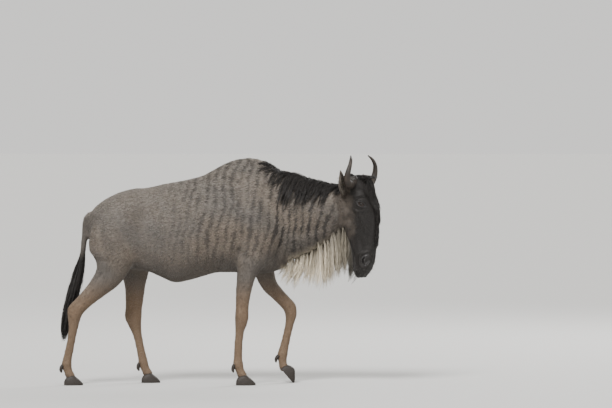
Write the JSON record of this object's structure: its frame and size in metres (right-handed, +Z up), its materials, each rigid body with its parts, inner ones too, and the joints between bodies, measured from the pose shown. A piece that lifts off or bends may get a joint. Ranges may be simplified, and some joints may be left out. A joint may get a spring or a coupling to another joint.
{
  "type": "wildebeest",
  "caption": "Life-size standing model of a walking wildebeest with a humped shoulder, low head, upswept horns, mane, beard and tufted tail.",
  "frame": {"origin": "middle of the bounding box at floor level", "axes": "+X the way the animal walks, +Y to its left, +Z up"},
  "size_m": [1.7022, 0.4542, 1.2133],
  "materials": {
    "hide": "short slate-brown fur with dark upright stripes, longer dark mane and pale beard",
    "face_hide": "short black and dark brown fur",
    "horn": "smooth dark horn, rougher at the base",
    "hoof": "dark satin horn",
    "eye": "glossy dark brown"
  },
  "bodies": {
    "root": {"torso": "hide", "neck": "hide", "head": "face_hide", "horn_right": "horn", "ear_right": "face_hide", "eye_right": "eye", "horn_left": "horn", "ear_left": "face_hide", "eye_left": "eye", "hoof_fore_right_outer": "hoof", "dewclaw_fore_right_outer": "hoof", "hoof_fore_right_inner": "hoof", "dewclaw_fore_right_inner": "hoof", "foreleg_right": "hide", "hoof_fore_left_outer": "hoof", "dewclaw_fore_left_outer": "hoof", "hoof_fore_left_inner": "hoof", "dewclaw_fore_left_inner": "hoof", "foreleg_left": "hide", "hoof_hind_right_outer": "hoof", "dewclaw_hind_right_outer": "hoof", "hoof_hind_right_inner": "hoof", "dewclaw_hind_right_inner": "hoof", "hindleg_right": "hide", "hoof_hind_left_outer": "hoof", "dewclaw_hind_left_outer": "hoof", "hoof_hind_left_inner": "hoof", "dewclaw_hind_left_inner": "hoof", "hindleg_left": "hide", "tail": "hide"}
  },
  "joints": []
}
